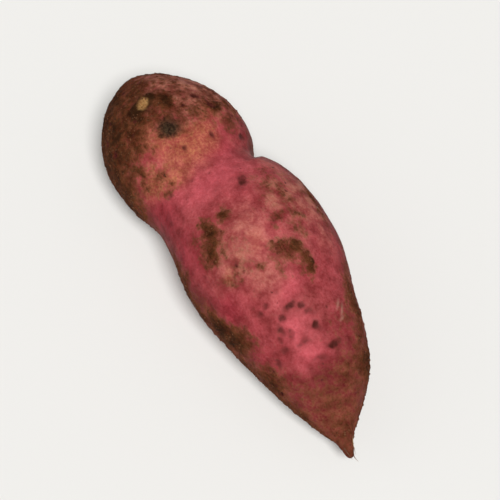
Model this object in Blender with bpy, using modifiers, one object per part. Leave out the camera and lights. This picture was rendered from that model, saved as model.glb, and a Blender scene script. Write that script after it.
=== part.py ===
"""A sweet potato: one tuberous root, lying on its side as it would on a table.

The root grew as one piece, so it is one solid. A crown lobe and a fuller body meet at an oblique waist,
and the body tapers to a short broken root tail. The form is a coarse cage of rings, smoothed by a
Subdivision Surface and brought to its overall size.

Metres, +Z up. The origin is under the middle of the root's box, on the surface that it lies on.
+X runs along the root, from the crown to the tail.
"""

import math
from collections import namedtuple

import bmesh
import bpy

MM = 0.001

# The finished root, over everything.
LENGTH = 175 * MM
WIDTH = 64.5 * MM
HEIGHT = 57 * MM

# How deep the skin is pressed flat where the root bears on the surface.
CONTACT_DEPTH = 0.9 * MM

CAGE_SEGMENTS = 12
SMOOTHING_LEVELS = 2

# One ring of the cage: how far along the root it stands, and how far its box reaches each way, in millimetres.
# "near" is towards -Y and "far" towards +Y, both from the root's long axis; "under" and "over" are heights.
Ring = namedtuple("Ring", "along near far under over")

CROWN_POLE = Ring(-0.2, -5.0, -5.0, 26.5, 26.5)
TAIL_POLE = Ring(178.0, -4.6, -4.6, 15.0, 15.0)

RINGS = (
    # The crown lobe, blunt and nearly round.
    Ring(2.8, -15.5, 3.5, 16.0, 37.0),
    Ring(10.2, -23.8, 14.2, 6.2, 45.6),
    Ring(20.5, -30.4, 21.8, 0.6, 52.0),
    Ring(31.0, -33.2, 26.0, -1.2, 54.0),
    Ring(42.0, -32.8, 27.4, -0.2, 53.2),
    # The waist, which lies aslant: pinched first on the far side, then on the near one.
    Ring(50.0, -31.2, 26.2, 1.8, 51.2),
    Ring(55.5, -29.6, 21.0, 3.4, 50.2),
    Ring(60.5, -28.0, 26.4, 3.2, 51.0),
    Ring(68.0, -27.2, 31.4, 1.8, 53.4),
    # The body, swollen towards the far side.
    Ring(79.0, -28.9, 33.4, 0.6, 56.0),
    Ring(92.0, -31.0, 34.8, 0.1, 57.4),
    Ring(106.0, -30.4, 33.2, 0.2, 56.2),
    Ring(120.0, -27.2, 29.8, 1.0, 52.6),
    Ring(133.0, -23.2, 26.4, 2.2, 47.4),
    Ring(145.0, -19.2, 22.8, 3.8, 41.0),
    Ring(155.5, -15.0, 17.0, 6.2, 33.6),
    # The taper, and the stub of the root tail, turned a little to the near side.
    Ring(163.5, -10.6, 7.8, 9.4, 25.6),
    Ring(169.0, -7.4, 1.2, 12.2, 19.8),
    Ring(173.0, -6.2, -1.8, 13.2, 17.6),
    Ring(177.0, -6.4, -2.8, 13.2, 16.8),
)

# Shallow lengthwise swellings round the girth: how many, how high as a share of the radius, where the first
# one stands, and how far they wind round the root from end to end.
SWELLINGS = (
    (2, 0.012, math.radians(35), math.radians(70)),
    (3, 0.018, math.radians(80), math.radians(-110)),
    (4, 0.010, math.radians(10), math.radians(160)),
)

SKIN_COLOUR = (0.36, 0.08, 0.085, 1.0)
SKIN_ROUGHNESS = 0.55


def clear_scene():
    for obj in list(bpy.data.objects):
        bpy.data.objects.remove(obj, do_unlink=True)


def skin_material():
    material = bpy.data.materials.new("root_skin")
    material.use_nodes = True
    shader = material.node_tree.nodes["Principled BSDF"]
    shader.inputs["Base Color"].default_value = SKIN_COLOUR
    shader.inputs["Roughness"].default_value = SKIN_ROUGHNESS
    shader.inputs["Metallic"].default_value = 0.0
    return material


def swelling(angle, share_along):
    """The radius at this angle round the root, as a share of the plain ring's."""
    rise = sum(
        height * math.cos(count * (angle - start - winding * share_along))
        for count, height, start, winding in SWELLINGS
    )
    return 1.0 + rise


def ring_point(ring, angle):
    """A point of the cage on this ring, in metres; the angle is 0 towards the far side and turns upwards."""
    share = swelling(angle, ring.along / TAIL_POLE.along)
    half_width = (ring.far - ring.near) / 2
    half_height = (ring.over - ring.under) / 2
    return (
        ring.along * MM,
        ((ring.far + ring.near) / 2 + half_width * share * math.cos(angle)) * MM,
        ((ring.over + ring.under) / 2 + half_height * share * math.sin(angle)) * MM,
    )


def cage_mesh():
    """A UV sphere whose rings are moved to their places along the root."""
    stations = (CROWN_POLE, *RINGS, TAIL_POLE)
    bands = len(stations) - 1
    cage = bmesh.new()
    bmesh.ops.create_uvsphere(cage, u_segments=CAGE_SEGMENTS, v_segments=bands, radius=1.0)
    for vertex in cage.verts:
        latitude = math.acos(max(-1.0, min(1.0, -vertex.co.z)))
        ring = stations[round(latitude / math.pi * bands)]
        vertex.co = ring_point(ring, math.atan2(vertex.co.y, vertex.co.x))
    bmesh.ops.recalc_face_normals(cage, faces=cage.faces)
    mesh = bpy.data.meshes.new("root_cage")
    cage.to_mesh(mesh)
    cage.free()
    return mesh


def smoothed_mesh(cage):
    """The cage after its Subdivision Surface, as a mesh of its own."""
    carrier = bpy.data.objects.new("root_cage", cage)
    bpy.context.scene.collection.objects.link(carrier)
    smoothing = carrier.modifiers.new("smoothing", "SUBSURF")
    smoothing.levels = SMOOTHING_LEVELS
    smoothing.render_levels = SMOOTHING_LEVELS
    evaluated = carrier.evaluated_get(bpy.context.evaluated_depsgraph_get())
    mesh = bpy.data.meshes.new_from_object(evaluated)
    bpy.data.objects.remove(carrier, do_unlink=True)
    bpy.data.meshes.remove(cage)
    return mesh


def extent(mesh, axis):
    """(lowest, highest) coordinate along an axis."""
    values = [vertex.co[axis] for vertex in mesh.vertices]
    return min(values), max(values)


def bring_to_size(mesh):
    """Scales the root to its overall size, with the pressed contact to come off its height, and centres it."""
    for axis, size in enumerate((LENGTH, WIDTH, HEIGHT + CONTACT_DEPTH)):
        low, high = extent(mesh, axis)
        start = -CONTACT_DEPTH if axis == 2 else -size / 2
        for vertex in mesh.vertices:
            vertex.co[axis] = start + (vertex.co[axis] - low) * size / (high - low)


def press_contact_flat(mesh):
    """Where the root bears on the surface its skin lies flat on it."""
    for vertex in mesh.vertices:
        vertex.co.z = max(vertex.co.z, 0.0)


def build_root(collection):
    mesh = smoothed_mesh(cage_mesh())
    bring_to_size(mesh)
    press_contact_flat(mesh)
    mesh.name = "sweet_potato"
    mesh.materials.append(skin_material())
    mesh.shade_smooth()
    root = bpy.data.objects.new("sweet_potato", mesh)
    collection.objects.link(root)
    return root


def main():
    clear_scene()
    collection = bpy.data.collections.new("sweet_potato")
    bpy.context.scene.collection.children.link(collection)
    build_root(collection)


main()
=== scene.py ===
"""The looks of a whole sweet potato, as a Blender add-on that is run as a script.

The root's skin is modelled over its CAD solid: lumps, wrinkles, root scars, a waist crease, a corky crown
scar and dried soil, with crumbs of soil and a few dry rootlets on it. Everything is in metres, in the CAD
model's frame: +X runs from the crown to the tail, +Z is up, and the root lies on the surface at Z = 0.
"""

import math
from collections import namedtuple
from functools import partial

import bmesh
import bpy
import numpy as np
from bpy.props import FloatProperty, FloatVectorProperty, IntProperty, PointerProperty
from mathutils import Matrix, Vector
from mathutils import noise as field_noise
from mathutils.bvhtree import BVHTree


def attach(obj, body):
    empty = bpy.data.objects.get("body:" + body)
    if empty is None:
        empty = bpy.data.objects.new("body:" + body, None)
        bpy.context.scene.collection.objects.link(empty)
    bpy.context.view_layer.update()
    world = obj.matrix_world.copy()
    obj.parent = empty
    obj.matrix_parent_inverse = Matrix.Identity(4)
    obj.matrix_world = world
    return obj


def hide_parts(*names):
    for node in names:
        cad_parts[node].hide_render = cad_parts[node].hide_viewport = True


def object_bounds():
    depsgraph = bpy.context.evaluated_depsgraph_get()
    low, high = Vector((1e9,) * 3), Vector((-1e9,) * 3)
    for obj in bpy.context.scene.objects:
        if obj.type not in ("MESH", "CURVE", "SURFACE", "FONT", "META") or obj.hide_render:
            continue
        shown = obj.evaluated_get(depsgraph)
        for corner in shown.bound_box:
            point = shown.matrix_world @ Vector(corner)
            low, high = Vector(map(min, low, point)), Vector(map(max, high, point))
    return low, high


bl_info = {
    "name": "Sweet potato",
    "version": (1, 0, 0),
    "blender": (4, 5, 0),
    "location": "3D Viewport > Sidebar > Sweet potato",
    "description": "Makes the skin, soil and rootlets of a whole sweet potato, and its stage",
    "category": "Object",
}

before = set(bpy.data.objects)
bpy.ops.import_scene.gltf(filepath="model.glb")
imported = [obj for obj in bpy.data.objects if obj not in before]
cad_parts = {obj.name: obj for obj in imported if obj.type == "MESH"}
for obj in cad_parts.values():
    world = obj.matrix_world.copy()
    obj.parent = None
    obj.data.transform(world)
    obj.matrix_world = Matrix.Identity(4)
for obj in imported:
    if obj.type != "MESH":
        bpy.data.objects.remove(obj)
CAD_LOW, CAD_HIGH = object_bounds()
NODE = "sweet_potato"
BODY = "root"
MM = 0.001
CM2_PER_M2 = 1e4

# ---- places on the root

# A mark on the skin. It lies so many millimetres along the root from the crown, and so many degrees round it:
# 0 is the far side (+Y), 90 the top, 180 the near side and 270 underneath. Its half length and half width are
# in millimetres. Strength is how much it counts, and slant turns its length by so many degrees from along the
# root towards round it.
Mark = namedtuple("Mark", "along girth length width strength slant", defaults=(1.0, 0.0))


def marks_at(*rows):
    return [Mark(*row) for row in rows]


# Where side roots broke off: small slits and pits.
ROOT_SCARS = marks_at(
    (71.5, 82, 3.1, 1.8, 0.92, 25), (28.5, 63, 2, 1.8, 0.9), (35, 56, 1.7, 1.8, 0.9), (31.5, 153, 1.3, 1.2),
    (24.5, 158, 1.2, 1.5, 0.7), (41.8, 120, 1, 1, 0.55), (47.3, 96, 1.4, 1.1, 0.75),
    (47.2, 68.5, 1.7, 1.3, 0.75), (59.3, 112, 0.9, 1.6, 0.45, 30), (60.8, 96, 1.4, 0.8, 0.45, 20),
    (59.8, 137, 1, 1.4, 0.6), (49, 35, 1.6, 2.4, 0.85), (120, 125.5, 1.6, 1.7, 0.66),
    (118.8, 117.5, 1.3, 1.3, 0.56), (123.2, 101, 1.7, 2.7, 0.88), (124.6, 91, 2, 1.9, 0.82),
    (116.5, 104, 1, 1, 0.5), (127.5, 87, 1.9, 1.7, 0.62), (131.5, 112, 1.1, 1.6, 0.66),
    (125.6, 112, 2.3, 1.8, 0.8, 40), (128.6, 118, 2.3, 1.6, 0.78, 40), (131.5, 124, 1.3, 1, 0.62),
    (132.7, 87, 2.1, 1.7, 1), (134.8, 127, 1.4, 2.6, 0.66), (136, 107, 1.2, 2.8, 0.62),
    (136.6, 142, 1.8, 2, 0.7), (141.3, 77, 1.3, 3.1, 1.02, 10), (142.8, 98, 1.4, 2.8, 0.6),
    (100.6, 120, 1.3, 0.9, 0.8), (104.2, 117.5, 1, 0.8, 0.6), (92, 77, 1.8, 1, 0.5, 30),
    (96.5, 112, 0.8, 0.8, 0.5), (92, 103, 0.7, 0.8, 0.45), (104.5, 88, 0.8, 0.7, 0.5),
    (99, 96, 0.8, 0.7, 0.4), (112, 118, 0.8, 0.9, 0.45), (87, 92, 0.8, 0.8, 0.4),
)

# Soil that has dried on in patches.
SOIL_PATCHES = marks_at(
    # The near patch: an arc across the body's shoulder, with a small one beside it.
    (85, 124.5, 4.3, 4, 0.98), (89.6, 131.5, 5, 3.6, 0.98, 5), (87.2, 128, 6.2, 5.6, 0.7, 15),
    (94, 124, 3.4, 3.4, 0.52), (80.6, 109.5, 3.2, 3.8, 0.84),
    # The far patch: a band that slants down the body.
    (101, 82, 4.2, 2.2, 0.74, -46), (105.2, 73, 4.8, 2.5, 0.86, -46), (111.5, 65, 5.6, 2.2, 0.9, -12),
    (106.5, 79, 6.5, 4.5, 0.52, -36),
    # Thin ones on the far shoulder.
    (80, 66, 12, 6, 0.4, -15), (77.5, 66.5, 7, 2.4, 0.54, -12), (84, 57, 7, 3, 0.56, -20),
    (92, 76, 4.6, 2.2, 0.48, 25), (92, 58, 5, 3, 0.56, -10), (98, 63, 4, 2.6, 0.5),
    (71, 60, 5, 2.2, 0.46, 20), (76, 44, 8, 3, 0.46),
    # Specks in the dusty middle of the body.
    (97, 108, 6, 5, 0.42), (106, 104, 2.6, 2, 0.5), (109.5, 92, 2.6, 2, 0.46), (101, 119, 4, 3.4, 0.56),
    (104.5, 131, 4.2, 3.6, 0.5),
    # Round the pits of the crown lobe.
    (24.8, 116, 5.4, 4.8, 1.26), (22, 95.5, 4.2, 3.8, 1.14), (26, 88, 5.8, 4.4, 1.08, -30),
    (36, 54, 4.2, 5, 1.04), (35, 71, 3.4, 4.6, 0.84), (42, 46, 4.4, 4.6, 0.56), (35, 36, 8, 4, 0.7),
    (14, 108, 7, 9, 0.84), (12, 135, 8, 9, 0.95), (22, 145, 9, 7, 1), (38, 164, 7, 6, 0.98),
    (48, 174, 8, 5, 0.84), (51, 147, 4.5, 3.6, 0.56), (44, 141, 3.4, 3.2, 0.8), (51.5, 129, 3.4, 3.4, 0.6),
    (54, 133, 6, 6, 0.5), (58, 134, 4, 3.6, 0.56), (38, 98, 5.6, 5.6, 0.68), (56.5, 124, 3, 2, 0.5, 30),
    # Low on the near side of the body: dried soil, made darker there as painted shade.
    (84, 175, 8, 6, 0.86), (92, 184, 8, 6, 0.84), (102, 182, 9, 5, 0.8), (113, 171, 8, 7, 1.08),
    (119, 162, 8, 6, 1.02, -30), (138, 174, 9, 7, 0.88),
    # Low on the far side.
    (131, 26, 16, 5, 0.78), (136, 46, 10, 8, 0.46), (84, 28, 12, 3.5, 0.62), (149, 68, 5, 7, 0.62),
    # Out of sight: the back, the underside and the tail.
    (28, 215, 15, 10, 0.92), (14, 265, 8, 14, 0.95), (47, 285, 11, 7, 0.85), (40, 335, 12, 6, 0.85),
    (74, 235, 9, 6, 0.75), (88, 320, 8, 5, 0.9), (97, 345, 9, 3.5, 0.75), (104, 262, 7, 5, 0.85),
    (118, 305, 10, 5, 0.88), (127, 230, 9, 6, 0.95), (141, 285, 8, 6, 0.85), (149, 20, 10, 6, 0.8),
)

# Ochre scurf, where the cork is rough and thin.
SCURF = marks_at(
    (48.5, 92, 6.5, 9, 0.95), (43.5, 73, 4.6, 6, 0.85), (38, 62, 5, 6, 0.4), (42.5, 112, 5.5, 6, 0.75),
    (55, 118, 3.6, 7, 0.75), (52, 136, 5, 6, 0.6), (36, 122, 6, 6, 0.45), (103, 130, 2.6, 2.4, 0.5),
    (97, 98, 3, 2.4, 0.35), (34, 245, 7, 8, 0.7), (68, 300, 6, 8, 0.6),
)

# A thin, pale, dusty film, which along the far side's edges also stands for painted light.
DUST_AND_EDGE_LIGHT = marks_at(
    (16, 72, 8, 9, 0.75), (24, 66, 9, 8, 0.85), (22, 50, 12, 8, 1), (26, 30, 12, 7, 0.9),
    (35, 80, 5, 4, 0.45), (66, 44, 7, 5, 0.55), (76, 36, 9, 5, 0.85), (90, 38, 14, 4.5, 0.6),
    (88, 52, 9, 6, 0.6), (82, 68, 7, 5, 0.55), (94, 100, 11, 7, 0.6), (99, 118, 8, 8, 0.65),
    (109, 108, 5, 6, 0.45), (96, 66, 8, 4, 0.2), (60, 240, 12, 10, 0.6), (96, 280, 16, 10, 0.6),
    (132, 330, 12, 8, 0.5),
)

# Where the red is deepest.
CRIMSON = marks_at(
    (65, 160, 13, 9), (78, 150, 6, 8, 0.8), (94, 154, 12, 6, 0.6), (75, 122, 3, 7, 0.45), (111, 144, 9, 7),
    (122, 134, 8, 6, 0.6), (122, 50, 16, 9, 0.45), (136, 52, 9, 8, 0.75), (137, 130, 4, 6, 0.6),
    (147, 88, 4, 7, 0.6), (54, 65, 5, 7, 0.95), (57, 48, 3, 4, 0.5), (76, 98, 5, 9, 0.6),
    (88, 146, 8, 5, 0.8), (131, 158, 7, 7, 0.8), (83, 158, 11, 8, 0.95), (82, 215, 12, 8, 0.7),
    (112, 300, 12, 8, 0.6),
)

# Painted highlights: where the skin is painted lightest, as if lit most there; soil is thinner there too.
PAINTED_HIGHLIGHTS = marks_at(
    (66, 110, 6, 11), (64, 88, 7, 8, 0.85), (57.5, 70, 4.5, 5, 0.5), (69, 68, 7, 5, 0.4),
    (69, 50, 8, 6, 0.55), (76, 94, 6, 8, 0.3), (61, 130, 5, 5, 0.5), (44, 117, 3.4, 3.6, 0.4),
    (97, 93, 5.5, 7, 0.62), (118.5, 93, 4, 5, 0.7), (131, 106, 5, 5, 0.7), (140, 108, 5, 5.5, 0.7),
)

# Pale scratches in the cork.
SCRATCHES = marks_at(
    (129, 55, 1.9, 0.45, 1, 35), (131.2, 52.5, 2.4, 0.45, 1, 25), (134, 56, 1.2, 0.4, 1, 60),
    (84, 250, 4.5, 0.45, 1, 12), (87, 246, 3, 0.4, 1, 14), (120, 335, 3.5, 0.45, 1, -25),
)

# The round scar with a dry, tan core, and the black spot beside it.
TAN_SCAR = Mark(22.6, 104.5, 3.0, 2.9, slant=20)
DARK_SPOT = Mark(38.0, 98.3, 4.5, 4.5)

# The dry rootlets that stayed on: where each starts, along and round the root, its length in millimetres,
# and its end's freedom, from 0 where it clings to the skin to 1.
Rootlet = namedtuple("Rootlet", "along girth length freedom", defaults=(0.0,))
ROOTLETS = [
    Rootlet(*row)
    for row in (
        (30, 314, 14), (50, 222, 16), (72, 226, 20), (84, 324, 18), (103, 218, 20), (111, 344, 16),
        (122, 318, 20), (139, 214, 15), (160, 240, 9, 0.4), (168, 20, 7, 0.5), (171, 150, 6, 0.6),
        (172.5, 290, 5, 0.6),
    )
]

# The crown's soil: how likely it is and how far along it reaches, on the far side and on the near side, and
# over what half length it fades out.
CROWN_SOIL = (0.56, 0.84)
CROWN_SOIL_END = (41.0, 56.0)
CROWN_SOIL_FADE = 9.0

# How likely soil is low on the flanks, by the crown and by the tail, and on the tail itself. On the flanks it
# is partly dried soil and partly painted shade, growing as a side faces down.
FLANK_SOIL_AND_SHADE = (0.42, 0.66)
TAIL_SOIL = 0.48

# The skin's reddish brown: where it starts and is full towards the tail, and how strong it is on the flanks,
# where it is painted shade that grows as a side faces down.
RUDDY_TAIL = (112.0, 168.0)
RUDDY_FLANK_SHADE = 0.85

# The waist's crease: how far along it lies on the far side and on top, and its half width.
CREASE = (55.5, 61.5)
CREASE_WIDTH = 2.8

# How far the corky face of the stalk's scar reaches from the crown's pole.
CROWN_SCAR_RADIUS = 4.0

# How ragged the scars' edges are beside those of the soil's patches.
FINER_EDGE = 0.45

# ---- settings


def linear(hex_value):
    """An sRGB hex colour as linear red, green, blue and alpha."""
    shares = [int(hex_value[i : i + 2], 16) / 255 for i in (1, 3, 5)]
    return (*(s / 12.92 if s <= 0.04045 else ((s + 0.055) / 1.055) ** 2.4 for s in shares), 1.0)


def colour_setting(name, description, hex_value):
    look = {"subtype": "COLOR", "size": 4, "min": 0.0, "max": 1.0}
    return FloatVectorProperty(name=name, description=description, default=linear(hex_value), **look)


def length_setting(name, description, millimetres):
    look = {"subtype": "DISTANCE", "unit": "LENGTH", "min": 0.0}
    return FloatProperty(name=name, description=description, default=millimetres * MM, **look)


def angle_setting(name, description, degrees):
    look = {"subtype": "ANGLE", "unit": "ROTATION"}
    return FloatProperty(name=name, description=description, default=math.radians(degrees), **look)


def number_setting(name, description, value, least=0.0):
    return FloatProperty(name=name, description=description, default=value, min=least)


def seed_setting(name, description, value, least=0):
    return IntProperty(name=name, description=description, default=value, min=least)


class SkinSettings(bpy.types.PropertyGroup):
    pitch: length_setting("Mesh pitch", "How fine the skin's mesh is", 0.625)
    lump_height: length_setting("Lump height", "How far the broad lumps stand out or in", 0.45)
    lump_spacing: length_setting("Lump spacing", "How far apart the broad lumps are", 24.0)
    dimple_height: length_setting("Dimple height", "How deep the small dimples are", 0.15)
    dimple_spacing: length_setting("Dimple spacing", "How far apart the small dimples are", 7.0)
    furrow_depth: length_setting("Furrow depth", "How deep the lengthwise furrows are", 0.10)
    furrow_spacing: length_setting("Furrow spacing", "How far apart the lengthwise furrows are", 11.0)
    wrinkle_depth: length_setting("Wrinkle depth", "How deep the crown's and the tail's wrinkles are", 0.20)
    wrinkle_spacing: length_setting("Wrinkle spacing", "How far apart those wrinkles are", 3.4)
    scar_depth: length_setting("Root scar depth", "How deep the root scars are", 0.5)
    crease_depth: length_setting("Crease depth", "How deep the crease is on the waist's far side", 1.3)
    soil_thickness: length_setting("Soil thickness", "How thick the dried soil is", 0.28)
    seed: seed_setting("Seed", "Changes where the hidden root scars lie", 7)
    edge_seed: seed_setting("Edge seed", "Changes the outlines of the patches", 12, least=1)
    rose: colour_setting("Rose", "The skin where it is clean", "#a44c4e")
    # The painted highlight's colour: the skin painted lighter, as if lit most.
    bright: colour_setting("Bright rose", "The skin where it is cleanest", "#c4565f")
    crimson: colour_setting("Crimson", "The skin where its red is deepest", "#95333c")
    # Also the colour of the painted shade on the downward-facing flanks.
    ruddy: colour_setting("Ruddy", "The skin towards the tail and underneath", "#6a2726")
    russet: colour_setting("Russet", "The skin under a bloom of soil", "#75402f")
    # Also painted light along the far side's edges.
    dust: colour_setting("Dust", "The thin film of dust", "#b0705f")
    ochre: colour_setting("Ochre", "Rough cork on the crown lobe", "#b0684a")


class SoilSettings(bpy.types.PropertyGroup):
    crumb_size: length_setting("Crumb size", "How wide the widest crumbs are", 1.2)
    crumbs_per_cm2: number_setting("Crumbs", "How many crumbs lie on a square centimetre of soil", 34.0)
    seed: seed_setting("Seed", "Changes where the crumbs lie", 3)
    umber: colour_setting("Umber", "The soil where it is thick", "#3b2212")
    loam: colour_setting("Loam", "The soil where it is thin", "#633721")
    dry: colour_setting("Dry loam", "The crumbs where they are driest", "#6c442c")


class RootletSettings(bpy.types.PropertyGroup):
    thickness: length_setting("Thickness", "How thick a rootlet is where it starts", 0.55)
    bend: length_setting("Bend", "How far a rootlet strays from a straight line", 7.0)
    seed: number_setting("Seed", "Changes how the rootlets bend", 2.0)
    pale: colour_setting("Pale", "Dry rootlets where they are clean", "#96714f")
    brown: colour_setting("Brown", "Dry rootlets where soil has stained them", "#5f4030")


class StageSettings(bpy.types.PropertyGroup):
    azimuth: angle_setting("Azimuth", "Where the camera stands round the root", 61)
    elevation: angle_setting("Elevation", "How high the camera looks from", 65)
    lens: number_setting("Lens", "Focal length in millimetres", 135.0, least=20.0)
    view_height: length_setting("View height", "How much the camera takes in at the root", 192.0)
    key: number_setting("Key light", "Strength of the main light", 3.34)
    fill: number_setting("Fill light", "Strength of the light on the other side", 0.12)
    sky: number_setting("Sky", "Strength of the light from all round", 0.17)
    floor: colour_setting("Floor", "The pale floor", "#e4e3e0")
    backdrop: colour_setting("Backdrop", "What is seen beyond the floor", "#f1f0ee")


# ---- node trees

MATH = "ShaderNodeMath"
VECTOR_MATH = "ShaderNodeVectorMath"
NOISE = "ShaderNodeTexNoise"
MAP_RANGE = "ShaderNodeMapRange"
MIX = "ShaderNodeMix"
SOFT = {"interpolation_type": "SMOOTHSTEP"}
COLOURS = {"data_type": "RGBA"}
TINT = {"data_type": "RGBA", "blend_type": "MULTIPLY"}


def add_node(tree, kind, inputs=(), output=0, **settings):
    """Adds a node with its settings, fills its inputs in order or by name, and gives one of its outputs."""
    made = tree.nodes.new(kind)
    for name, value in settings.items():
        setattr(made, name, value)
    shown = [socket for socket in made.inputs if socket.enabled]
    named = {socket.name: socket for socket in reversed(shown)}
    for key, value in inputs.items() if isinstance(inputs, dict) else enumerate(inputs):
        socket = named[key] if isinstance(key, str) else shown[key]
        if isinstance(value, bpy.types.NodeSocket):
            tree.links.new(value, socket)
        elif value is not None:
            socket.default_value = value
    outputs = [socket for socket in made.outputs if socket.enabled]
    return outputs[output] if outputs else None


def geometry_tree(name, numbers, **others):
    """A tree with number inputs of these names and others of these types, what adds to it, and its inputs."""
    tree = bpy.data.node_groups.new(name, "GeometryNodeTree")
    kinds = {"Geometry": "NodeSocketGeometry", **dict.fromkeys(numbers, "NodeSocketFloat"), **others}
    for label, kind in kinds.items():
        tree.interface.new_socket(label, in_out="INPUT", socket_type=kind)
    tree.interface.new_socket("Geometry", in_out="OUTPUT", socket_type="NodeSocketGeometry")
    entry = tree.nodes.new("NodeGroupInput")
    return tree, partial(add_node, tree), {socket.name: socket for socket in entry.outputs if socket.name}


def end_tree(add, geometry, material):
    """Realises what the tree made and gives it its material."""
    real = add("GeometryNodeRealizeInstances", (geometry,))
    done = add("GeometryNodeSetMaterial", {"Geometry": real, "Material": material})
    add("NodeGroupOutput", (done,))


def apply_tree(mesh, tree, settings, **others):
    """The mesh that a tree makes of a mesh, with its inputs set to the settings or others of their names."""
    carrier = new_object(tree.name, mesh)
    modifier = carrier.modifiers.new(tree.name, "NODES")
    modifier.node_group = tree
    for item in tree.interface.items_tree:
        if item.in_out == "INPUT" and item.name != "Geometry":
            name = item.name.lower().replace(" ", "_")
            modifier[item.identifier] = others[name] if name in others else getattr(settings, name)
    return plain_mesh(carrier)


def new_object(name, data):
    """A new object, linked to the scene."""
    made = bpy.data.objects.new(name, data)
    bpy.context.scene.collection.objects.link(made)
    return made


def plain_mesh(carrier):
    """What the carrier's modifiers make of its mesh, as a plain mesh. The carrier and its modifiers go."""
    evaluated = carrier.evaluated_get(bpy.context.evaluated_depsgraph_get())
    made = bpy.data.meshes.new_from_object(evaluated)
    carrier.modifiers.clear()
    bpy.data.objects.remove(carrier, do_unlink=True)
    return made


def new_material(name, finish):
    """A material with its even finish, what adds to it, what links in it, and its shader's inputs."""
    material = bpy.data.materials.new(name)
    material.use_nodes = True
    tree = material.node_tree
    shader = tree.nodes["Principled BSDF"].inputs
    for socket, value in finish.items():
        shader[socket].default_value = value
    return material, partial(add_node, tree), tree.links.new, shader


# ---- the root's own form


def merged_copy(name):
    """A copy of the CAD solid with its loose triangles joined."""
    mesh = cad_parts[NODE].data.copy()
    mesh.name = name
    mesh.materials.clear()
    form = bmesh.new()
    form.from_mesh(mesh)
    bmesh.ops.remove_doubles(form, verts=form.verts, dist=0.001 * MM)
    form.to_mesh(mesh)
    form.free()
    return mesh


def vertex_vectors(mesh, name):
    """The vertices' places ("co") or normals ("normal") as rows of x, y and z."""
    values = np.empty(len(mesh.vertices) * 3, np.float32)
    mesh.vertices.foreach_get(name, values)
    return values.reshape(-1, 3).astype(float)


# How far from its axis the surface is looked for, in metres.
WELL_CLEAR = 0.1

# How far from a mark counts as right outside it, in the mark's own size.
OUTSIDE = 4.0


class RootForm:
    """Finds places on the CAD solid by how far along the root and how far round it they are."""

    def __init__(self, mesh):
        self.points = vertex_vectors(mesh, "co")
        corners, faces = [v.co for v in mesh.vertices], [p.vertices for p in mesh.polygons]
        self.surface = BVHTree.FromPolygons(corners, faces)
        step = 4 * MM
        self.stations = np.arange(CAD_LOW.x, CAD_HIGH.x + step, step)
        self.centres = np.array([self.centre_of_slice(x, step) for x in self.stations])

    def centre_of_slice(self, x, step):
        slice_ = self.points[np.abs(self.points[:, 0] - x) < step]
        return (slice_[:, 1:].min(axis=0) + slice_[:, 1:].max(axis=0)) / 2

    def axis(self, x):
        """The middle of the root's section at x, as y and z."""
        return np.stack([np.interp(x, self.stations, self.centres[:, i]) for i in (0, 1)], axis=-1)

    def place(self, mark):
        """The point of the surface where a mark lies, or where a rootlet starts."""
        x = CAD_LOW.x + mark.along * MM
        y, z = self.axis(x)
        turn = math.radians(mark.girth)
        outward = Vector((0.0, math.cos(turn), math.sin(turn)))
        return np.array(self.surface.ray_cast(Vector((x, y, z)) + outward * WELL_CLEAR, -outward)[0])

    def distance(self, points, mark, raggedness):
        """How far ragged points are from a mark that is as ragged: 0 at its middle, 1 at its rim."""
        offset = points - ragged(self.place(mark)[None], raggedness)
        turn, slant = math.radians(mark.girth), math.radians(mark.slant)
        rise = offset @ np.array((0.0, -math.sin(turn), math.cos(turn)))
        depth = offset @ np.array((0.0, math.cos(turn), math.sin(turn)))
        lengthwise = offset[:, 0] * math.cos(slant) + rise * math.sin(slant)
        across = rise * math.cos(slant) - offset[:, 0] * math.sin(slant)
        shares = (lengthwise / mark.length, across / mark.width, depth / max(mark.length, mark.width))
        return np.linalg.norm(shares, axis=0) / MM

    def along_and_girth(self, points):
        """How far along the root points lie, in millimetres, and how far round it, from 0 to 360 degrees."""
        centres = self.axis(points[:, 0])
        girth = np.degrees(np.arctan2(points[:, 2] - centres[:, 1], points[:, 1] - centres[:, 0]))
        return (points[:, 0] - CAD_LOW.x) / MM, girth % 360.0


def smooth(values, start, end):
    """0 at start, 1 at end, with soft ends."""
    share = np.clip((values - start) / (end - start), 0.0, 1.0)
    return share * share * (3.0 - 2.0 * share)


def between(ends, share):
    """The first end at share 0, and the second at share 1."""
    return ends[0] + (ends[1] - ends[0]) * share


def hidden_root_scars(seed):
    """Root scars in lengthwise rows that wind slowly round the root, where none is listed."""
    draw = np.random.default_rng(seed)
    rows, spacing = 6, 17.0
    crown_margin, tail_margin = 10.0, 12.0
    winding, stray = 60.0, 9.0
    placed_from, placed_to = 30.0, 170.0
    gaps, sizes, plumpness = (0.7, 1.5), (0.7, 1.5), (0.8, 1.7)
    length = (CAD_HIGH.x - CAD_LOW.x) / MM
    scars = []
    for row in range(rows):
        along = crown_margin + draw.uniform(0.0, spacing)
        while along < length - tail_margin:
            girth = (360.0 / rows * row + winding * along / length + draw.uniform(-stray, stray)) % 360.0
            size = draw.uniform(*sizes)
            if not placed_from < girth < placed_to:
                scars.append(Mark(along, girth, size, size * draw.uniform(*plumpness)))
            along += spacing * draw.uniform(*gaps)
    return scars


def ragged(points, raggedness):
    """The points shifted by noise, so that what is measured from them gets a ragged edge."""
    if raggedness == 0.0:
        return points
    spacings_and_reaches = ((14 * MM, 3.0 * MM), (6 * MM, 2.2 * MM), (2.4 * MM, 1.1 * MM))
    return points + raggedness * sum(
        np.array([field_noise.noise_vector(Vector(p) / spacing) for p in points]) * reach
        for spacing, reach in spacings_and_reaches
    )


def nearest_distance(form, points, marks, raggedness):
    """The distance from ragged points to the nearest of the marks, in their own sizes."""
    nearest = np.full(len(points), OUTSIDE)
    for mark in marks:
        nearest = np.minimum(nearest, form.distance(points, mark, raggedness))
    return nearest


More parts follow.
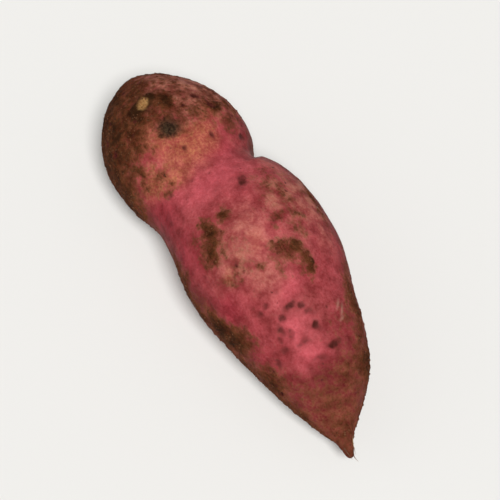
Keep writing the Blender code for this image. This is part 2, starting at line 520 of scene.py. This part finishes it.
def coverage(form, points, marks, raggedness=1.0):
    """The marks' strength in their middles, half of it at their rims and 0 at twice their size."""
    cover = np.zeros(len(points))
    for mark in marks:
        distance = form.distance(points, mark, raggedness)
        cover = np.maximum(cover, mark.strength * (1.0 - smooth(distance, 0.0, 2.0)))
    return cover


def soil_likelihood(form, points, normals):
    """Where soil has stayed on: over the crown, in patches, low on the flanks, where it is also painted
    shade, and on the tail.
    """
    along, girth = form.along_and_girth(points)
    underneath = smooth(girth, 215.0, 300.0)
    crown = between(CROWN_SOIL, smooth(girth, 100.0, 150.0) - underneath)
    crown_end = between(CROWN_SOIL_END, smooth(girth, 134.0, 176.0) - underneath)
    crown *= 1.0 - smooth(along, crown_end - CROWN_SOIL_FADE, crown_end + CROWN_SOIL_FADE)
    # Painted shade as well as soil: more of it the further a flank faces down.
    flank_shade = between(FLANK_SOIL_AND_SHADE, smooth(along, 98.0, 128.0)) * smooth(-normals[:, 2], -0.62, 0.10)
    tail = TAIL_SOIL * smooth(along, 138.0, 166.0)
    patches = coverage(form, points, SOIL_PATCHES)
    spread = np.maximum.reduce([crown, flank_shade, tail, patches])
    for marks, share in ((PAINTED_HIGHLIGHTS, 0.30), (CRIMSON, 0.24), (DUST_AND_EDGE_LIGHT, 0.16)):
        spread -= share * coverage(form, points, marks)
    return spread


def crease_strength(form, points):
    """The waist's fold: sharp on the far side, and gone on top and underneath."""
    along, girth = form.along_and_girth(points)
    girth = np.where(girth > 180.0, girth - 360.0, girth)
    line = between(CREASE, smooth(girth, 15.0, 60.0))
    fade = (1.0 - smooth(girth, 25.0, 72.0)) * smooth(girth, -95.0, -35.0)
    return fade * (1.0 - smooth(np.abs(along - line), 0.0, CREASE_WIDTH))


def crown_scar_distance(points):
    """How far points are from the crown's pole, in radii of its scar."""
    pole = points[np.argmin(points[:, 0])]
    return (np.linalg.norm(points - pole, axis=1) / (CROWN_SCAR_RADIUS * MM)).clip(0.0, OUTSIDE)


def set_attribute(mesh, name, values):
    attribute = mesh.attributes.new(name, "FLOAT", "POINT")
    attribute.data.foreach_set("value", np.asarray(values, np.float32))


def mark_skin(mesh, form, seed):
    """Writes on the mesh where its marks are, for the relief and the material to read."""
    points, normals = vertex_vectors(mesh, "co"), vertex_vectors(mesh, "normal")
    rough_edged, finer_edged = ragged(points, 1.0), ragged(points, FINER_EDGE)
    along, _ = form.along_and_girth(rough_edged)
    scars = [*ROOT_SCARS, *hidden_root_scars(seed)]
    crimson = coverage(form, rough_edged, CRIMSON)
    tail = smooth(along, *RUDDY_TAIL)
    # Painted shade: the skin is painted darker and browner the further a flank faces down.
    flank_shade = RUDDY_FLANK_SHADE * (1.0 - 0.8 * crimson) * smooth(-normals[:, 2], -0.72, -0.18)
    fields = {
        "root_scar": nearest_distance(form, finer_edged, scars, FINER_EDGE),
        "scar_shade": coverage(form, finer_edged, scars, FINER_EDGE),
        "soil": soil_likelihood(form, rough_edged, normals),
        "crease": crease_strength(form, points),
        "crimson": crimson,
        "scurf": coverage(form, rough_edged, SCURF),
        "dust": coverage(form, rough_edged, DUST_AND_EDGE_LIGHT),
        "bright": coverage(form, rough_edged, PAINTED_HIGHLIGHTS),
        "scratch": coverage(form, points, SCRATCHES, 0.0),
        "tail": tail,
        "ruddy": np.maximum(tail, flank_shade),
        "tan_scar": form.distance(finer_edged, TAN_SCAR, FINER_EDGE).clip(0.0, OUTSIDE),
        "dark_spot": form.distance(finer_edged, DARK_SPOT, FINER_EDGE).clip(0.0, OUTSIDE),
        "crown_scar": crown_scar_distance(points),
    }
    for name, values in fields.items():
        set_attribute(mesh, name, values)


def skin_base(pitch):
    """The CAD solid's surface as an even, fine mesh."""
    carrier = new_object("skin_base", merged_copy("skin_base"))
    rounding = carrier.modifiers.new("rounding", "SUBSURF")
    rounding.levels = rounding.render_levels = 1
    even = carrier.modifiers.new("even_mesh", "REMESH")
    even.mode = "VOXEL"
    even.voxel_size = pitch
    even.use_smooth_shade = True
    relaxed = carrier.modifiers.new("relaxed", "SMOOTH")
    relaxed.factor = 0.5
    relaxed.iterations = 6
    return plain_mesh(carrier)


def relief_tree():
    """Raises the skin's relief and writes where soil covers it."""
    heights = ("Lump height", "Dimple height", "Furrow depth", "Wrinkle depth", "Scar depth", "Crease depth")
    spacings = ("Lump spacing", "Dimple spacing", "Furrow spacing", "Wrinkle spacing")
    lengths = (*heights, *spacings, "Soil thickness")
    tree, add, given = geometry_tree("skin_relief", lengths, Skin="NodeSocketMaterial")
    place = add("GeometryNodeInputPosition")
    marks = {
        name: add("GeometryNodeInputNamedAttribute", (name,), data_type="FLOAT")
        for name in ("soil", "root_scar", "tan_scar", "crown_scar", "dark_spot", "crease", "tail")
    }
    soil = soil_field(add, place, marks["soil"])
    cover = add(MAP_RANGE, (soil, 0.44, 0.74), **SOFT)
    grain = add(NOISE, {"Vector": place, "Scale": 1 / (1.5 * MM), "Detail": 3.0, "Roughness": 0.6})
    crust = add(MATH, (cover, add(MAP_RANGE, (grain, 0.3, 0.75, 0.25, 1.6))), operation="MULTIPLY")
    wrinkled = add(MATH, (add(MAP_RANGE, (soil, 0.1, 0.6), **SOFT), marks["tail"]), operation="MAXIMUM")
    furrows = line_field(add, place, (0.2, 1.0, 1.0), given["Furrow spacing"], 0.10, 1.0, 0.5)
    wrinkles = line_field(add, place, (1.0, 0.28, 0.28), given["Wrinkle spacing"], 0.07, 2.0, 0.6)
    wrinkles = add(MATH, (wrinkles, wrinkled), operation="MULTIPLY")
    scars = []
    for scar, depth, rise in (("root_scar", -1.0, 0.3), ("tan_scar", -0.7, 0.5), ("crown_scar", -2.6, 0.8)):
        hollow, lip = scar_fields(add, marks[scar])
        scars += [(hollow, "Scar depth", depth), (lip, "Scar depth", rise)]
    stub = add(MAP_RANGE, (marks["crown_scar"], 0.1, 0.55, 1.0, 0.0), **SOFT)
    sunken = add(MAP_RANGE, (marks["dark_spot"], 0.3, 1.0, 1.0, 0.0), **SOFT)
    flaky = add(MATH, (sunken, add(MAP_RANGE, (grain, 0.3, 0.7))), operation="MULTIPLY")
    total = 0.0
    for field, height, share in (
        (swing_field(add, place, given["Lump spacing"]), "Lump height", 1.0),
        (swing_field(add, place, given["Dimple spacing"]), "Dimple height", 1.0),
        (furrows, "Furrow depth", -1.0),
        (wrinkles, "Wrinkle depth", -1.0),
        *scars,
        (stub, "Scar depth", 2.2),
        (sunken, "Scar depth", -0.6),
        (flaky, "Scar depth", 0.6),
        (marks["crease"], "Crease depth", -1.0),
        (crust, "Soil thickness", 1.0),
    ):
        scaled = add(MATH, (given[height], share), operation="MULTIPLY")
        total = add(MATH, (field, scaled, total), operation="MULTIPLY_ADD")
    normal = add("GeometryNodeInputNormal")
    offset = add(VECTOR_MATH, {"Vector": normal, "Scale": total}, operation="SCALE")
    kept = {"Geometry": given["Geometry"], "Name": "soil_cover", "Value": cover}
    marked = add("GeometryNodeStoreNamedAttribute", kept, data_type="FLOAT", domain="POINT")
    end_tree(add, add("GeometryNodeSetPosition", {"Geometry": marked, "Offset": offset}), given["Skin"])
    return tree


def swing_field(add, place, spacing):
    """Smooth swells, from about -1 to 1."""
    scale = add(MATH, (1.0, spacing), operation="DIVIDE")
    swell = add(NOISE, {"Vector": place, "Scale": scale, "Detail": 1.0})
    return add(MAP_RANGE, (swell, 0.25, 0.75, -1.0, 1.0), clamp=False)


def line_field(add, place, squeeze, spacing, width, detail, roughness):
    """1 along narrow lines, which run the way that the squeeze draws them out, and 0 between them."""
    drawn_out = add(VECTOR_MATH, (place, squeeze), operation="MULTIPLY")
    scale = add(MATH, (1.0, spacing), operation="DIVIDE")
    swell = add(NOISE, {"Vector": drawn_out, "Scale": scale, "Detail": detail, "Roughness": roughness})
    ridge = add(MATH, (add(MATH, (swell, 0.5), operation="SUBTRACT"),), operation="ABSOLUTE")
    return add(MAP_RANGE, (ridge, 0.0, width, 1.0, 0.0), **SOFT)


def scar_fields(add, distance):
    """The hollow of a scar and the lip round it, each from 0 to 1."""
    hollow = add(MAP_RANGE, (distance, 0.1, 1.1, 1.0, 0.0), **SOFT)
    rise = add(MAP_RANGE, (distance, 0.7, 1.4), **SOFT)
    fall = add(MAP_RANGE, (distance, 1.4, 2.4, 1.0, 0.0), **SOFT)
    return hollow, add(MATH, (rise, fall), operation="MULTIPLY")


def stirred(add, field, noise, reach):
    """The field, shifted by noise to either side by up to about half of reach."""
    swing = add(MATH, (noise, 0.5), operation="SUBTRACT")
    return add(MATH, (swing, reach, field), operation="MULTIPLY_ADD")


def soil_field(add, place, likelihood):
    """How thick the soil lies, from about 0 to 1: its likelihood broken up by blotches and finer specks."""
    blotches = add(NOISE, {"Vector": place, "Scale": 1 / (7 * MM), "Detail": 3.0, "Roughness": 0.6})
    specks = add(NOISE, {"Vector": place, "Scale": 1 / (2.2 * MM), "Detail": 4.0, "Roughness": 0.65})
    return stirred(add, stirred(add, likelihood, blotches, 0.7), specks, 1.3)


def fit_to_frame(mesh):
    """Brings the mesh back to the CAD solid's box."""
    points = vertex_vectors(mesh, "co")
    low, high = points.min(axis=0), points.max(axis=0)
    goal_low, goal_high = np.array(CAD_LOW), np.array(CAD_HIGH)
    points = goal_low + (points - low) * (goal_high - goal_low) / (high - low)
    mesh.vertices.foreach_set("co", points.astype(np.float32).ravel())
    mesh.update()


# ---- materials


def periderm_material(skin, soil):
    """Sweet potato periderm: thin cork over pale flesh, satin where clean, dull under soil or scurf."""
    finish = {
        "IOR": 1.45,
        "Specular IOR Level": 0.05,
        "Subsurface Weight": 0.06,
        "Subsurface Radius": (1.0, 0.35, 0.25),
        "Subsurface Scale": 1.2 * MM,
    }
    material, add, link, shader = new_material("sweet_potato_periderm", finish)
    place = add("ShaderNodeTexCoord", output=3)
    colours = ("soil", "scurf", "dust", "crimson", "bright", "ruddy", "scratch")
    scars = ("scar_shade", "tan_scar", "dark_spot", "crown_scar")
    mask = {name: add("ShaderNodeAttribute", output=2, attribute_name=name) for name in (*colours, *scars)}
    broad, mottle, grain = (
        add(NOISE, {"Vector": place, "Scale": 1 / (size * MM), "Detail": detail, "Roughness": roughness})
        for size, detail, roughness in ((18, 3.0, 0.5), (4.5, 4.0, 0.52), (1.0, 3.0, 0.7))
    )
    dirt = stirred(add, soil_field(add, place, mask["soil"]), grain, 0.6)
    drift = add(MAP_RANGE, (broad, 0.38, 0.60, 0.5, 0.0), **SOFT)
    stain = add(MAP_RANGE, (dirt, 0.05, 0.46, 0.0, 0.88), **SOFT)
    patchy = add(MAP_RANGE, (mottle, 0.36, 0.60, 0.25, 1.0), **SOFT)
    grains = add(MAP_RANGE, (grain, 0.38, 0.66, 0.5, 1.0), **SOFT)
    scurf = add(MATH, (mask["scurf"], grains), operation="MULTIPLY")

    colour = skin.rose
    for share, tone in (
        # Clean skin drifts from rose to crimson and turns reddish brown by the tail; a painted shade darkens
        # the downward-facing flanks, and a painted highlight lightens the waist.
        (add(MATH, (drift, mask["crimson"]), operation="MAXIMUM"), skin.crimson),
        (mask["ruddy"], skin.ruddy),
        (mask["bright"], skin.bright),
        # Soil stains it russet where it is thinnest, and a paler dusty film, in part painted light at the far
        # edges, and rough scurf lie here and there.
        (stain, skin.russet),
        (add(MATH, (mask["dust"], patchy), operation="MULTIPLY"), skin.dust),
        (scurf, skin.ochre),
        # Thicker soil goes from loam to umber.
        (add(MAP_RANGE, (dirt, 0.34, 0.80), **SOFT), soil.loam),
        (add(MAP_RANGE, (dirt, 0.62, 1.20), **SOFT), soil.umber),
    ):
        colour = add(MIX, (share, colour, tone), **COLOURS)

    # Everything is mottled, least under the painted highlights: dark parts are warmer, and light grains
    # paler.
    calm = add(MAP_RANGE, (mask["bright"], 0.0, 1.0, 0.85, 0.5))
    mottling = add(MATH, (calm, stain), operation="MAXIMUM")
    for pattern, low, high, dark, light in (
        (mottle, 0.32, 0.66, (0.60, 0.47, 0.43, 1.0), (1.22, 1.22, 1.22, 1.0)),
        (grain, 0.25, 0.75, (0.74, 0.50, 0.50, 1.0), (1.22, 1.50, 1.46, 1.0)),
    ):
        tint = add(MIX, (add(MAP_RANGE, (pattern, low, high)), dark, light), **COLOURS)
        colour = add(MIX, {"Factor": mottling, "A": colour, "B": tint}, **TINT)

    colour = flecked(add, place, dirt, colour)
    colour = scarred(add, place, mask, colour)
    scratched = add(MATH, (mask["scratch"], 0.4), operation="MULTIPLY")
    link(add(MIX, (scratched, colour, linear("#bd917f")), **COLOURS), shader["Base Color"])

    dull = add(MATH, (add(MAP_RANGE, (dirt, 0.1, 0.7), **SOFT), scurf), operation="MAXIMUM")
    satin = add(MAP_RANGE, (grain, 0.3, 0.7, 0.46, 0.60))
    link(add(MATH, (dull, 0.32, satin), operation="MULTIPLY_ADD"), shader["Roughness"])

    # The cork's own grain and the crust's are too fine for the mesh.
    bump = None
    for height, depth in ((grain, 0.30), (mottle, 0.40), (add(MAP_RANGE, (dirt, 0.45, 1.45)), 0.80)):
        bump = add("ShaderNodeBump", {"Height": height, "Distance": depth * MM, "Normal": bump})
    link(bump, shader["Normal"])
    return material


def flecked(add, place, dirt, colour):
    """Small dark flecks, more of them where the skin is dirty."""
    waver = add(NOISE, {"Vector": place, "Scale": 1 / (1.6 * MM), "Detail": 1.0}, output=1)
    shift = add(VECTOR_MATH, (waver, (1.4 * MM,) * 3, place), operation="MULTIPLY_ADD")
    cell = {"Vector": shift, "Scale": 1 / (4.2 * MM)}
    distance = add("ShaderNodeTexVoronoi", cell)
    chance = add("ShaderNodeSeparateColor", (add("ShaderNodeTexVoronoi", cell, output=1),))
    likely = add(MATH, (dirt, 0.45, chance), operation="MULTIPLY_ADD")
    reach = add(MAP_RANGE, (likely, 0.55, 1.25, 0.0, 0.27))
    gap = add(MATH, (distance, reach), operation="SUBTRACT")
    fleck = add(MAP_RANGE, (gap, -0.12, 0.01, 0.8, 0.0), **SOFT)
    return add(MIX, (fleck, colour, linear("#4d1f1c")), **COLOURS)


def scarred(add, place, mask, colour):
    """The scars are dark inside, and smudged with soil round about; the tan one shows its dry core."""
    cracks, lesion = (
        add(NOISE, {"Vector": place, "Scale": 1 / (size * MM), "Detail": detail, "Roughness": roughness})
        for size, detail, roughness in ((2.0, 5.0, 0.62), (1.6, 4.0, 0.7))
    )
    shade = stirred(add, mask["scar_shade"], cracks, 1.0)
    smudge = add(MAP_RANGE, (shade, 0.14, 0.80, 0.0, 0.75), **SOFT)
    pit = add(MAP_RANGE, (shade, 0.45, 0.98, 0.0, 0.82), **SOFT)
    spotted = stirred(add, mask["dark_spot"], lesion, 1.2)
    spot = add(MAP_RANGE, (spotted, 0.35, 1.40, 0.96, 0.0), **SOFT)
    flakes, core = (
        add(MIX, (add(MAP_RANGE, (pattern, low, high)), linear(dark), linear(light)), **COLOURS)
        for pattern, low, high, dark, light in (
            (lesion, 0.42, 0.62, "#261a12", "#4b3a2a"),
            (cracks, 0.32, 0.62, "#865731", "#d3a368"),
        )
    )
    broken = add(MAP_RANGE, (cracks, 0.38, 0.60, 0.9, 0.35))
    layers = [(smudge, linear("#652a28")), (pit, linear("#3d1912")), (spot, flakes)]
    for scar, paleness in (("tan_scar", 1.0), ("crown_scar", 0.6)):
        distance = stirred(add, mask[scar], lesion, 0.6)
        rim = add(MAP_RANGE, (distance, 1.0, 2.1, 1.0, 0.0), **SOFT)
        face = add(MAP_RANGE, (distance, 0.35, 1.15, paleness, 0.0), **SOFT)
        layers += [(add(MATH, (rim, broken), operation="MULTIPLY"), linear("#35200f")), (face, core)]
    for share, tone in layers:
        colour = add(MIX, (share, colour, tone), **COLOURS)
    return colour


def soil_material(soil):
    """Dried loam: crumbly, quite dull, paler where it is dustier."""
    material, add, link, shader = new_material("dried_loam", {"Roughness": 0.95, "Specular IOR Level": 0.2})
    place = add("ShaderNodeTexCoord", output=3)
    dusty = add(NOISE, {"Vector": place, "Scale": 1 / (1.5 * MM), "Detail": 3.0})
    tone = add(MAP_RANGE, (dusty, 0.28, 0.62), **SOFT)
    link(add(MIX, (tone, soil.umber, soil.dry), **COLOURS), shader["Base Color"])
    crumb = add(NOISE, {"Vector": place, "Scale": 1 / (0.3 * MM)})
    link(add("ShaderNodeBump", {"Height": crumb, "Distance": 0.08 * MM}), shader["Normal"])
    return material


# ---- soil crumbs


def crumb_tree():
    """Scatters crumbs of soil where it covers the skin, but not where the root touches the floor."""
    numbers = ("Crumb size", "Crumbs per area")
    tree, add, given = geometry_tree("soil_crumbs", numbers, Seed="NodeSocketInt", Soil="NodeSocketMaterial")
    cover = add("GeometryNodeInputNamedAttribute", ("soil_cover",), data_type="FLOAT")
    thick = add(MAP_RANGE, (cover, 0.2, 1.0), **SOFT)
    place = add("GeometryNodeInputPosition")
    height = add("ShaderNodeSeparateXYZ", (place,), output=2)
    clear = add(MAP_RANGE, (height, 1.2 * MM, 2.4 * MM))
    crumbly = add(MATH, (thick, clear), operation="MULTIPLY")
    clumps = add(NOISE, {"Vector": place, "Scale": 1 / (6 * MM), "Detail": 2.0})
    gathered = add(MATH, (crumbly, add(MAP_RANGE, (clumps, 0.44, 0.66, 0.1, 2.4))), operation="MULTIPLY")
    density = add(MATH, (given["Crumbs per area"], gathered), operation="MULTIPLY")
    spread = {"Mesh": given["Geometry"], "Density": density, "Seed": given["Seed"]}
    scattered = add("GeometryNodeDistributePointsOnFaces", spread)
    share = add("FunctionNodeRandomValue", {"Min": 0.0, "Max": 1.0, "Seed": given["Seed"]}, data_type="FLOAT")
    small_mostly = add(MATH, (share, 3.0), operation="POWER")
    fraction = add(MAP_RANGE, (small_mostly, 0.0, 1.0, 0.25, 0.9))
    width = add(MATH, (fraction, given["Crumb size"]), operation="MULTIPLY")
    squat = add(VECTOR_MATH, {"Vector": (1.0, 0.8, 0.6), "Scale": width}, operation="SCALE")
    turns = {"Min": (0.0, 0.0, 0.0), "Max": (math.tau,) * 3, "Seed": given["Seed"]}
    turn = add("FunctionNodeRandomValue", turns, data_type="FLOAT_VECTOR")
    clod = add("GeometryNodeMeshIcoSphere", {"Radius": 0.5, "Subdivisions": 1})
    placed = {"Points": scattered, "Instance": clod, "Rotation": turn, "Scale": squat}
    real = add("GeometryNodeRealizeInstances", (add("GeometryNodeInstanceOnPoints", placed),))
    jag = add(NOISE, {"Vector": place, "Scale": 1 / (0.5 * MM), "Detail": 0.0}, output=1)
    centred = add(VECTOR_MATH, (jag, (0.5, 0.5, 0.5)), operation="SUBTRACT")
    offset = add(VECTOR_MATH, {"Vector": centred, "Scale": 0.5 * MM}, operation="SCALE")
    end_tree(add, add("GeometryNodeSetPosition", {"Geometry": real, "Offset": offset}), given["Soil"])
    return tree


# ---- rootlets


def rootlet_material(rootlets):
    """Dried rootlets: matt, straw-pale fibre, stained brown here and there."""
    material, add, link, shader = new_material("dried_rootlet", {"Roughness": 0.8, "Specular IOR Level": 0.2})
    place = add("ShaderNodeTexCoord", output=3)
    stain = add(NOISE, {"Vector": place, "Scale": 1 / (4 * MM), "Detail": 2.0})
    tone = add(MAP_RANGE, (stain, 0.38, 0.62), **SOFT)
    link(add(MIX, (tone, rootlets.brown, rootlets.pale), **COLOURS), shader["Base Color"])
    return material


def rootlet_starts(form):
    """A mesh with a vertex where each rootlet starts, and with its length and how free it is."""
    mesh = bpy.data.meshes.new("rootlet_starts")
    mesh.from_pydata([form.place(rootlet) for rootlet in ROOTLETS], [], [])
    set_attribute(mesh, "reach", [rootlet.length * MM for rootlet in ROOTLETS])
    set_attribute(mesh, "free", [rootlet.freedom for rootlet in ROOTLETS])
    return mesh


def rootlet_tree():
    """Grows a rootlet from each vertex towards the tail, which clings to the skin unless it is free."""
    numbers = ("Thickness", "Bend", "Seed")
    tree, add, given = geometry_tree("rootlets", numbers, Skin="NodeSocketObject", Fibre="NodeSocketMaterial")
    reach, free = (
        add("GeometryNodeInputNamedAttribute", (name,), data_type="FLOAT") for name in ("reach", "free")
    )
    skin = add("GeometryNodeObjectInfo", {"Object": given["Skin"]}, output=4)
    starts = add("GeometryNodeMeshToPoints", (given["Geometry"],))
    line = add("GeometryNodeCurvePrimitiveLine", {"End": (1.0, 0.0, 0.0)})
    line = add("GeometryNodeResampleCurve", {"Curve": line, "Count": 20})
    grown = add("GeometryNodeInstanceOnPoints", {"Points": starts, "Instance": line, "Scale": reach})
    curves = add("GeometryNodeRealizeInstances", (grown,))
    share = add("GeometryNodeSplineParameter")
    place = add("GeometryNodeInputPosition")
    waves = {"Vector": place, "W": given["Seed"], "Scale": 1 / (16 * MM), "Detail": 2.0}
    swerve = add(NOISE, waves, output=1, noise_dimensions="4D")
    centred = add(MAP_RANGE, {"Vector": swerve, "To Min": (-1.0,) * 3}, data_type="FLOAT_VECTOR")
    stray = add(MATH, (given["Bend"], share), operation="MULTIPLY")
    offset = add(VECTOR_MATH, {"Vector": centred, "Scale": stray}, operation="SCALE")
    bent = add("GeometryNodeSetPosition", {"Geometry": curves, "Offset": offset})
    nearest = add("GeometryNodeProximity", (skin,), target_element="FACES")
    sampled = {"Mesh": skin, "Value": add("GeometryNodeInputNormal")}
    outward = add("GeometryNodeSampleNearestSurface", sampled, data_type="FLOAT_VECTOR")
    lift = add(MATH, (given["Thickness"], 0.3), operation="MULTIPLY")
    raised = add(VECTOR_MATH, (outward, lift, nearest), operation="MULTIPLY_ADD")
    loose = add(MATH, (free, share), operation="MULTIPLY")
    settled = add(MIX, {"Factor": loose, "A": raised, "B": place}, data_type="VECTOR")
    clinging = add("GeometryNodeSetPosition", {"Geometry": bent, "Position": settled})
    taper = add(MAP_RANGE, (share, 0.0, 1.0, 1.0, 0.12))
    half = add(MATH, (given["Thickness"], 0.5), operation="MULTIPLY")
    ring = add("GeometryNodeCurvePrimitiveCircle", {"Resolution": 6, "Radius": half})
    drawn = {"Curve": clinging, "Profile Curve": ring, "Scale": taper, "Fill Caps": True}
    tube = add("GeometryNodeCurveToMesh", drawn)
    # Rings that fall on each other become one.
    tube = add("GeometryNodeMergeByDistance", {"Geometry": tube, "Distance": 0.002 * MM})
    end_tree(add, tube, given["Fibre"])
    return tree


# ---- pieces and stage


def show(name, mesh, slot, *replaced):
    """Links a finished piece and ties it to the frame."""
    mesh.name = name
    piece = new_object(name, mesh)
    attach(piece, BODY)
    if replaced:
        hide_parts(*replaced)


def finished_skin():
    """The skin that the crumbs and the rootlets lie on."""
    skin = bpy.data.objects.get("skin")
    if skin is None:
        raise RuntimeError("make the skin first")
    return skin


class SWEETPOTATO_OT_skin(bpy.types.Operator):
    """Models the root's skin over its CAD solid"""

    bl_idname = "sweetpotato.skin"
    bl_label = "Make the skin"

    def execute(self, context):
        skin, soil = context.scene.sweetpotato_skin, context.scene.sweetpotato_soil
        field_noise.seed_set(skin.edge_seed)
        form = RootForm(merged_copy("root_form"))
        base = skin_base(skin.pitch)
        mark_skin(base, form, skin.seed)
        mesh = apply_tree(base, relief_tree(), skin, skin=periderm_material(skin, soil))
        fit_to_frame(mesh)
        mesh.shade_smooth()
        show("skin", mesh, "skin", NODE)
        return {"FINISHED"}


class SWEETPOTATO_OT_soil_crumbs(bpy.types.Operator):
    """Scatters crumbs of dried soil on the skin"""

    bl_idname = "sweetpotato.soil_crumbs"
    bl_label = "Make the soil crumbs"

    def execute(self, context):
        soil = context.scene.sweetpotato_soil
        base = finished_skin().data.copy()
        crumbs = soil.crumbs_per_cm2 * CM2_PER_M2
        mesh = apply_tree(base, crumb_tree(), soil, crumbs_per_area=crumbs, soil=soil_material(soil))
        show("soil_crumbs", mesh, "soil")
        return {"FINISHED"}


class SWEETPOTATO_OT_rootlets(bpy.types.Operator):
    """Grows the dry rootlets on the skin"""

    bl_idname = "sweetpotato.rootlets"
    bl_label = "Make the rootlets"

    def execute(self, context):
        rootlets = context.scene.sweetpotato_rootlets
        skin = finished_skin()
        starts = rootlet_starts(RootForm(merged_copy("root_form")))
        mesh = apply_tree(starts, rootlet_tree(), rootlets, skin=skin, fibre=rootlet_material(rootlets))
        mesh.shade_smooth()
        show("rootlets", mesh, "skin")
        return {"FINISHED"}


class SWEETPOTATO_OT_stage(bpy.types.Operator):
    """Sets the floor, the lights and the camera"""

    bl_idname = "sweetpotato.stage"
    bl_label = "Set the stage"

    def execute(self, context):
        stage = context.scene.sweetpotato_stage
        context.scene.view_settings.view_transform = "Standard"
        make_floor(stage)
        make_sky(context.scene, stage)
        middle = (CAD_LOW + CAD_HIGH) / 2
        soft_light("key_light", azimuth=76, elevation=64, spread=21, strength=stage.key)
        soft_light("fill_light", azimuth=-30, elevation=35, spread=44, strength=stage.fill)
        make_camera(context.scene, stage, middle)
        return {"FINISHED"}


def toward(azimuth, elevation):
    """The direction from the root to something seen at this azimuth and elevation, in radians."""
    level = math.cos(elevation)
    return Vector((math.sin(azimuth) * level, -math.cos(azimuth) * level, math.sin(elevation)))


def make_floor(stage):
    """A pale, matt floor that goes on well past what the camera sees."""
    reach = 20.0
    form = bmesh.new()
    bmesh.ops.create_grid(form, x_segments=1, y_segments=1, size=reach)
    mesh = bpy.data.meshes.new("floor")
    form.to_mesh(mesh)
    form.free()
    mesh.materials.append(new_material("matt_paper", {"Base Color": stage.floor, "Roughness": 0.9})[0])
    floor = new_object("floor", mesh)


def make_sky(scene, stage):
    """Lights the scene evenly from all round, and shows the camera a pale backdrop instead."""
    world = bpy.data.worlds.new("studio")
    world.use_nodes = True
    add = partial(add_node, world.node_tree)
    light = add("ShaderNodeBackground", (linear("#f6f5f3"), stage.sky))
    backdrop = add("ShaderNodeBackground", (stage.backdrop, 1.0))
    seen = add("ShaderNodeLightPath")
    sky = add("ShaderNodeMixShader", (seen, light, backdrop))
    world.node_tree.links.new(sky, world.node_tree.nodes["World Output"].inputs["Surface"])
    scene.world = world


def soft_light(name, azimuth, elevation, spread, strength):
    """A far, wide light, so that it falls evenly on the whole floor."""
    lamp = bpy.data.lights.new(name, "SUN")
    lamp.angle = math.radians(spread)
    lamp.energy = strength
    back = toward(math.radians(azimuth), math.radians(elevation))
    new_object(name, lamp).rotation_euler = (-back).to_track_quat("-Z", "Y").to_euler()


def make_camera(scene, stage, target):
    """A camera that looks at the target from as far off as its lens needs to take the view height in."""
    lens = bpy.data.cameras.new("camera")
    lens.lens = stage.lens
    lens.sensor_width = 36.0
    camera = scene.camera = new_object("camera", lens)
    back = toward(stage.azimuth, stage.elevation)
    camera.location = target + back * (stage.view_height * stage.lens / lens.sensor_width)
    camera.rotation_euler = (-back).to_track_quat("-Z", "Y").to_euler()


class SWEETPOTATO_PT_panel(bpy.types.Panel):
    """Lists the settings and the steps"""

    bl_idname = "SWEETPOTATO_PT_panel"
    bl_label = "Sweet potato"
    bl_space_type = "VIEW_3D"
    bl_region_type = "UI"
    bl_category = "Sweet potato"

    def draw(self, context):
        for group, _, step in STEPS:
            settings = getattr(context.scene, group)
            box = self.layout.box()
            for name in settings.bl_rna.properties.keys():
                if name not in ("rna_type", "name"):
                    box.prop(settings, name)
            box.operator(step.bl_idname)


STEPS = (
    ("sweetpotato_skin", SkinSettings, SWEETPOTATO_OT_skin),
    ("sweetpotato_soil", SoilSettings, SWEETPOTATO_OT_soil_crumbs),
    ("sweetpotato_rootlets", RootletSettings, SWEETPOTATO_OT_rootlets),
    ("sweetpotato_stage", StageSettings, SWEETPOTATO_OT_stage),
)


def register():
    for group, settings, step in STEPS:
        bpy.utils.register_class(settings)
        bpy.utils.register_class(step)
        setattr(bpy.types.Scene, group, PointerProperty(type=settings))
    bpy.utils.register_class(SWEETPOTATO_PT_panel)


def unregister():
    bpy.utils.unregister_class(SWEETPOTATO_PT_panel)
    for group, settings, step in reversed(STEPS):
        delattr(bpy.types.Scene, group)
        bpy.utils.unregister_class(step)
        bpy.utils.unregister_class(settings)


def main():
    register()
    bpy.ops.sweetpotato.stage()
    bpy.ops.sweetpotato.skin()
    bpy.ops.sweetpotato.soil_crumbs()
    bpy.ops.sweetpotato.rootlets()


if __name__ == "__main__":
    main()
